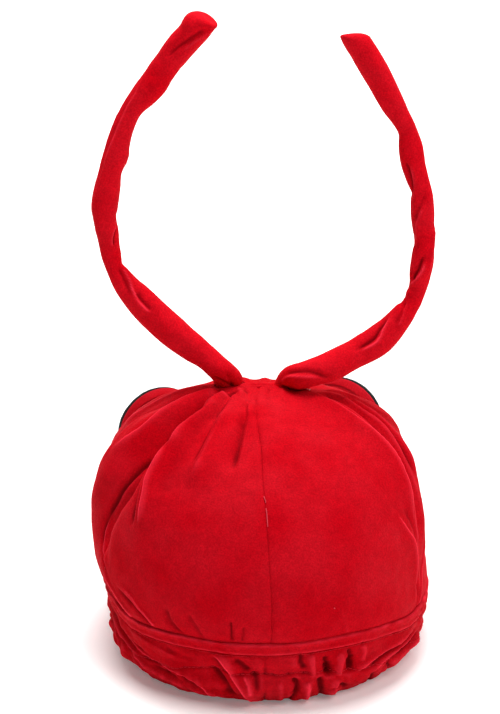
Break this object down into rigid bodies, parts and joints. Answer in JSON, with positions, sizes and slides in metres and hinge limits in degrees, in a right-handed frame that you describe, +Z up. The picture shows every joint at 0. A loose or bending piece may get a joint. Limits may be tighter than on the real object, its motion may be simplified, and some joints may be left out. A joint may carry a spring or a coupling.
{
  "type": "ant costume hat",
  "caption": "Soft red velvet costume cap shaped like an ant's head, with long bent antennae, stuffed black-faced eyes and a gathered band.",
  "frame": {"origin": "middle of the hat's box in plan, at the rim that it rests on", "axes": "+Z up through the crown, +Y towards the eyes at the front, +X to the right as seen from behind"},
  "size_m": [0.207, 0.2274, 0.3892],
  "materials": {
    "red_velvet": "soft short-pile velvet with a pale sheen on its folds",
    "black_cloth": "smooth black satin cloth"
  },
  "bodies": {
    "root": {"back_panel_left": "red_velvet", "back_panel_right": "red_velvet", "front_panel": "red_velvet", "band_welt": "red_velvet", "gathered_band": "red_velvet", "antenna_left": "red_velvet", "antenna_right": "red_velvet", "eye_back_left": "red_velvet", "eye_back_right": "red_velvet", "eye_face_left": "black_cloth", "eye_face_right": "black_cloth"}
  },
  "joints": []
}
